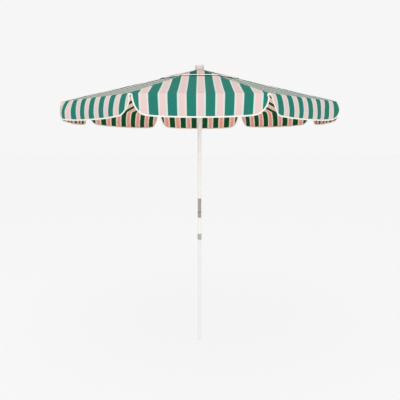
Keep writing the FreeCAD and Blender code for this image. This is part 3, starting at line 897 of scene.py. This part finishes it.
# the gores were cut where they fell on the cloth, so each one's stripes are off by its own amount
stripe_shifts = {1: 0.038, 2: 0.0, 3: -0.036, 4: 0.012, 5: -0.037, 6: 0.009, 7: -0.039, 8: -0.01}
for rib in ribs:
    turn = rib_turn(rib)
    shared = {
        "Turn": turn,
        "Shift Ahead": stripe_shifts[rib],
        "Shift Behind": stripe_shifts[rib - 1 or 8],
        "Material": canvas_outside,
    }
    roof = grown(
        f"roof_{rib}",
        gore_tree,
        {
            **shared,
            "Reach": rib_reach,
            "Hole": roof_hole,
            "Hem Height": roof_edge_height,
            "Fold": hem_fold,
            "Hem Lean": hem_lean,
            "Slack": 0.006,
            "Rows": 61,
            "Columns": 25,
        },
    )
    vent = grown(
        f"vent_{rib}",
        gore_tree,
        {
            **shared,
            "Reach": vent_reach,
            "Hole": vent_hole,
            "Hem Height": vent_edge_height,
            "Fold": vent_fold,
            "Hem Lean": vent_lean,
            "Slack": 0.0025,
            "Rows": 31,
            "Columns": 17,
        },
    )
    # each cloth, its printed side, the share of its width left when folded, its size, and how
    # far its stitches keep from the middle and from its edge along the rib and at the hem
    for cloth, outside, keep, reach_out, hole, seam_in, seam_end, hem_in in (
        (roof, canvas_outside, 0.11, rib_reach, roof_hole, roof_hole + 0.01, 0.014, 0.02),
        (vent, vent_canvas_painted_shade, 0.25, vent_reach, vent_hole, 0.045, 0.01, 0.009),
    ):
        tailored(cloth, outside)
        gathered(cloth, rib)
        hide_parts(f"canopy_{rib}")
        seam_length = reach_out - seam_end - seam_in
        seams = []
        for side in (-seam_off_rib, seam_off_rib):
            outs = [seam_in + seam_length * step / seam_steps for step in range(seam_steps + 1)]
            seams.append([on_cloth(cloth, turn, out, side) for out in outs])
        hem_out = (reach_out - hem_in) * math.cos(half_turn)
        tip = hem_out / math.cos(half_turn)
        end = hem_out * math.cos(half_turn)
        for hand in (-1, 1):
            end_sideways = hand * hem_out * math.sin(half_turn) * hem_stop
            hem = []
            for step in range(hem_steps + 1):
                share = hem_start + (1 - hem_start) * step / hem_steps
                hem.append(on_cloth(cloth, turn, tip + (end - tip) * share, end_sideways * share))
            seams.append(hem)
        name = cloth.name.replace("_", "_seam_")
        sewn_on = [stitched(name, seams, sage_thread, stitch_spacing, stitch_thick)]
        if cloth is vent:
            sewn_on.append(vent_tape(rib))
        for piece in sewn_on:
            gathered(piece, rib)
        wide = 2 * reach_out * math.sin(half_turn)
        deep = (reach_out - hole) * math.cos(half_turn) / math.cos(pitch)
        wide * deep * (1 + hole / reach_out) / 2


# --- Valance ------------------------------------------------------------------------------
# One flap of the same canvas hangs from each side of the canopy, sewn on under the folded hem.
# Its lower corners are cut round and bound with white tape, which turns over the top of the
# slit at each rib. It kicks out from the fold before it falls straight.

fold_in = hem_fold * (math.cos(hem_lean) - math.cos(roof_lean))
fold_up = hem_fold * (math.sin(roof_lean) - math.sin(hem_lean))
flap_top = roof_edge_height + fold_in * math.tan(pitch) - fold_up
flap_deep = 0.144
flap_side = [(0.4125, 0.0), (0.4085, 0.055), (0.395, 0.112), (0.345, 0.129)]
flap_foot = [(0.345, 0.129), (0.318, 0.1375), (0.2, flap_deep), (0.0, flap_deep)]


def bezier(corners, share):
    """A point of a curve between the first and last of four corners."""
    rest = 1 - share
    weights = (rest**3, 3 * rest**2 * share, 3 * rest * share**2, share**3)
    return tuple(sum(w * c[axis] for w, c in zip(weights, corners)) for axis in (0, 1))


# soft creases left in the flaps by folding: (across, half width, how far out)
creases = {
    1: [(-0.25, 0.09, 0.006), (0.3, 0.06, -0.005)],
    2: [(0.1, 0.08, 0.005), (-0.32, 0.07, 0.006)],
    3: [(-0.2, 0.07, -0.005), (0.34, 0.06, 0.008)],
    4: [(0.0, 0.1, 0.006), (-0.35, 0.05, -0.006)],
    5: [(-0.315, 0.075, 0.021), (-0.42, 0.035, -0.014), (0.43, 0.03, -0.007)],
    6: [(0.2, 0.08, 0.003), (-0.36, 0.05, 0.004)],
    7: [(0.22, 0.1, -0.011), (0.42, 0.045, 0.014)],
    8: [(0.12, 0.09, 0.006), (-0.3, 0.06, -0.005)],
}
# two flaps at the back have stretched: (how many times longer, how lopsided)
stretched = {2: (1.055, 0.0), 3: (1.03, -0.06)}
kick_out = 0.02
kick_fall = 0.036
end_reach = 0.07
long_wave = 0.31
short_wave = 0.137


def hang(panel, across, down):
    """Where a point of a flap hangs: across from its middle, and down its cloth."""
    end = math.copysign(1, across)
    near_end = math.exp(-(side_half - abs(across)) / end_reach)
    fall = max(0.0, down / flap_deep)
    kick = kick_out * (1 - math.exp(-down / kick_fall))
    sway = 0.0035 * fall**1.3 * math.sin(across * 2 * math.pi / long_wave + 1.7 * panel)
    sway += 0.0016 * fall * math.sin(across * 2 * math.pi / short_wave + 2.9 * panel)
    sway += sum(
        far * min(1.0, fall * 2.2) * math.exp(-(((across - middle) / wide) ** 2))
        for middle, wide, far in creases[panel]
    )
    longer, lopsided = stretched.get(panel, (1.0, 0.0))
    down = down * (longer + lopsided * across / side_half)
    across = across * (1 - 0.032 * fall)
    curl = 0.004 + 0.007 * abs(math.cos(panel * 2 * half_turn))
    curl *= 4.9 * max(0.0, fall - 0.55) ** 2
    flick = 0.006 * math.sin(2.3 * panel + end) * near_end * fall
    out = apothem + kick + sway - curl + flick
    return around(2 * half_turn * panel, out, across, flap_top - down)


def facing(panel, across, down):
    """The way that the printed side of a flap faces at a point."""
    step = 0.001
    right = hang(panel, across + step, down) - hang(panel, across - step, down)
    lower = hang(panel, across, down + step) - hang(panel, across, down - step)
    return lower.cross(right).normalized()


# two flaps are cut a little fuller at the end that meets the next flap round
fuller = {5: 0.030, 6: 0.017}


def flap_edge(panel):
    """The cut edge from one top corner down and round to the other, as (across, down)."""
    half = [bezier(flap_side, step / 18) for step in range(18)]
    half += [bezier(flap_foot, step / 22) for step in range(22)]
    edge = [(-across, down) for across, down in half] + [(0.0, flap_deep)]
    for across, down in reversed(half):
        swell = (1 - math.exp(-down / 0.02)) * math.sqrt(max(0.0, 1 - (down / flap_deep) ** 2))
        swell *= min(1.0, max(0.0, (across - 0.25) / 0.1))
        edge.append((across + fuller.get(panel, 0.0) * swell, down))
    return edge


def flap_cloth(panel):
    """Columns of cloth from the hem down to the cut edge."""
    rows = 14
    edge = flap_edge(panel)[1:-1]
    top_half = flap_side[0][0]
    corner_across, corner_down = flap_foot[0]
    corner_at_hem = 0.3605
    points = []
    cloth = []
    for across, down in edge:
        if abs(across) < corner_across:
            start = abs(across) * 1.045
        else:
            rise = min(1, 1 - down / corner_down)
            start = corner_at_hem + (top_half - corner_at_hem) * rise
        start = math.copysign(min(start, top_half), across)
        for row in range(rows + 1):
            share = row / rows
            at = (start + (across - start) * share, down * share)
            points.append(hang(panel, *at))
            cloth.append((at[0] - stripe_shifts[panel], -at[1]))
    faces = []
    for column in range(len(edge) - 1):
        for row in range(rows):
            near = column * (rows + 1) + row
            far = near + rows + 1
            faces.append((near, near + 1, far + 1, far))
    return points, faces, cloth


def drawn_in(piece, panel):
    """Rides with its panel's middle."""
    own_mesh(piece)
    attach(piece, f"valance_{panel}")


def folded_tape(name, panel):
    """Binding folded over the cut edge: a flat loop of tape that follows the edge."""
    wide = 0.0084
    thick = 0.0013
    edge = flap_edge(panel)
    profile = [(wide, thick), (wide / 2, thick), (0.0, thick * 0.9), (-0.0012, 0.0)]
    profile += [(into, -lift - cloth_thick) for into, lift in reversed(profile[:3])]
    points = []
    places = []
    run = 0.0
    for index, (across, down) in enumerate(edge):
        before = edge[max(index - 1, 0)]
        after = edge[min(index + 1, len(edge) - 1)]
        along = Vector((after[0] - before[0], after[1] - before[1])).normalized()
        into = Vector((along.y, -along.x))
        if index:
            run += math.dist(edge[index - 1], edge[index])
        for step, (inset, lift) in enumerate(profile):
            at = (across + into.x * inset, max(down + into.y * inset, -0.004))
            points.append(hang(panel, *at) + facing(panel, *at) * lift)
            places.append((step * wide / 3, run))
    faces = tube_faces(len(edge), len(profile))
    return mapped_mesh(name, points, faces, places, white_tape)


def slit_arch(rib):
    """The bit of binding that turns over the top of the slit at a rib's end."""
    behind = rib - 1 or 8
    top = flap_side[0][0]
    foot_down = 0.007
    start = hang(behind, top, foot_down)
    end = hang(rib, -top, foot_down)
    outwards = around(rib_turn(rib), 1, 0, 0)
    side = (end - start).normalized()
    middle = (start + end) / 2
    half = (end - start).length / 2
    points = []
    places = []
    steps = 12
    half_wide = 0.0048
    proud = 0.0015
    profile = [(half_wide, 0.0014), (-half_wide, 0.0014), (-half_wide - 0.0006, 0.0)]
    profile += [(-half_wide, -0.0022), (half_wide, -0.0022)]
    for step in range(steps + 1):
        swing = math.pi * step / steps
        for across, lift in profile:
            reach_up = half + across
            place = middle - side * math.cos(swing) * reach_up
            place = place + Vector((0, 0, math.sin(swing) * (reach_up * 0.8)))
            points.append(place + outwards * (lift + proud))
            places.append((across, half * swing))
    faces = tube_faces(steps + 1, len(profile))
    return mapped_mesh(f"slit_arch_{rib}", points, faces, places, white_tape)


stitch_inset = 0.0067
over_tape = 0.0015
under_tape = -0.0023
for rib in ribs:
    gathered(slit_arch(rib), rib)
for panel in range(1, 9):
    points, faces, cloth = flap_cloth(panel)
    flap = mapped_mesh(f"flap_{panel}", points, faces, cloth, canvas_outside)
    tailored(flap, canvas_outside)
    drawn_in(flap, panel)
    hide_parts(f"valance_{panel}")
    binding = folded_tape(f"binding_{panel}", panel)
    drawn_in(binding, panel)
    rows = []
    for lift in (over_tape, under_tape):
        row = []
        edge = flap_edge(panel)[1:-1]
        for (across, down), (next_across, next_down) in zip(edge, edge[1:]):
            along = Vector((next_across - across, next_down - down)).normalized()
            at = (across + along.y * stitch_inset, down - along.x * stitch_inset)
            row.append(hang(panel, *at) + facing(panel, *at) * lift)
        rows.append(row)
    sewing = stitched(f"binding_stitches_{panel}", rows, white_thread, 0.0055, 0.0009)
    drawn_in(sewing, panel)
